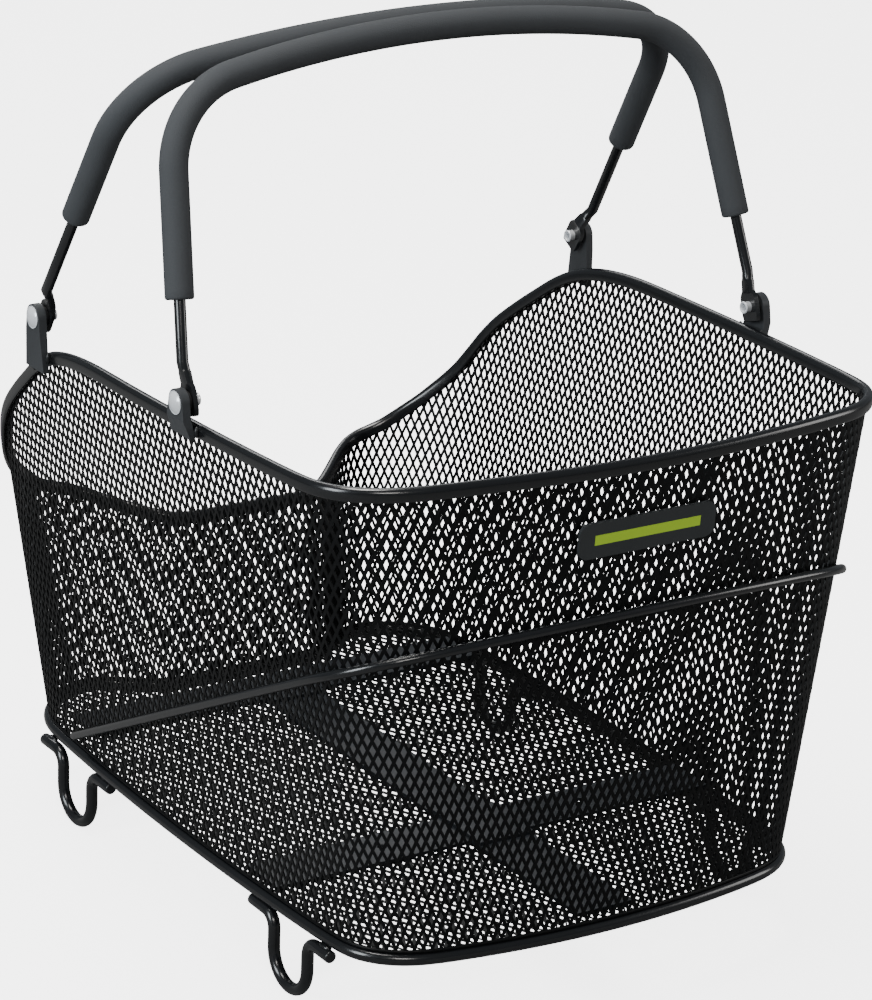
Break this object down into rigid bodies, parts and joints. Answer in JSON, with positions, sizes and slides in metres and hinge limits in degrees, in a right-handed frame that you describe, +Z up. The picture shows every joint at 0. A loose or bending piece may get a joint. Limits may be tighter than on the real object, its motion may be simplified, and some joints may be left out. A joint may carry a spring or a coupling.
{
  "type": "bicycle rack basket",
  "caption": "Open wire-mesh basket with a rounded rim, a low recessed rear wall, wire feet and two foam-covered swing handles on riveted brackets.",
  "frame": {"origin": "centre of the four rack bolt holes, level with the underside of the floor straps", "axes": "+X to the right across the width, +Y along the length towards the low recessed rear wall (the badge is on the -Y wall), +Z up"},
  "size_m": [0.3596, 0.4312, 0.4697],
  "materials": {
    "frame_paint": "satin black powder coat",
    "mesh_paint": "satin black powder coat",
    "strap_paint": "satin dark grey powder coat",
    "rivet_steel": "zinc plated",
    "black_plastic": "matt",
    "grip_foam": "matt closed-cell foam",
    "badge_plate": "satin"
  },
  "bodies": {
    "basket": {"top_rim": "frame_paint", "floor_frame": "frame_paint", "guard_wire": "frame_paint", "mesh_front": "mesh_paint", "mesh_left": "mesh_paint", "mesh_right": "mesh_paint", "mesh_rear": "mesh_paint", "mesh_floor": "mesh_paint", "strap_front": "strap_paint", "strap_rear": "strap_paint", "strap_centre": "strap_paint", "foot_front_left": "frame_paint", "foot_front_right": "frame_paint", "foot_rear_left": "frame_paint", "foot_rear_right": "frame_paint", "bracket_front_left": "frame_paint", "bracket_front_right": "frame_paint", "bracket_rear_left": "frame_paint", "bracket_rear_right": "frame_paint", "rivet_front_left": "rivet_steel", "rivet_front_right": "rivet_steel", "rivet_rear_left": "rivet_steel", "rivet_rear_right": "rivet_steel", "spacer_front_left": "black_plastic", "spacer_front_right": "black_plastic", "spacer_rear_left": "black_plastic", "spacer_rear_right": "black_plastic", "badge": "badge_plate", "badge_clip": "black_plastic"},
    "front_handle": {"handle_front": "frame_paint", "grip_front": "grip_foam"},
    "rear_handle": {"handle_rear": "frame_paint", "grip_rear": "grip_foam"}
  },
  "joints": [
    {"name": "front_handle_swing", "type": "hinge", "parent": "basket", "child": "front_handle", "pos_m": [0, -0.0866, 0.25704], "axis": [1, 0, 0], "range_deg": [0, 105]},
    {"name": "rear_handle_swing", "type": "hinge", "parent": "basket", "child": "rear_handle", "pos_m": [0, 0.0718, 0.25404], "axis": [-1, 0, 0], "range_deg": [0, 140]}
  ]
}
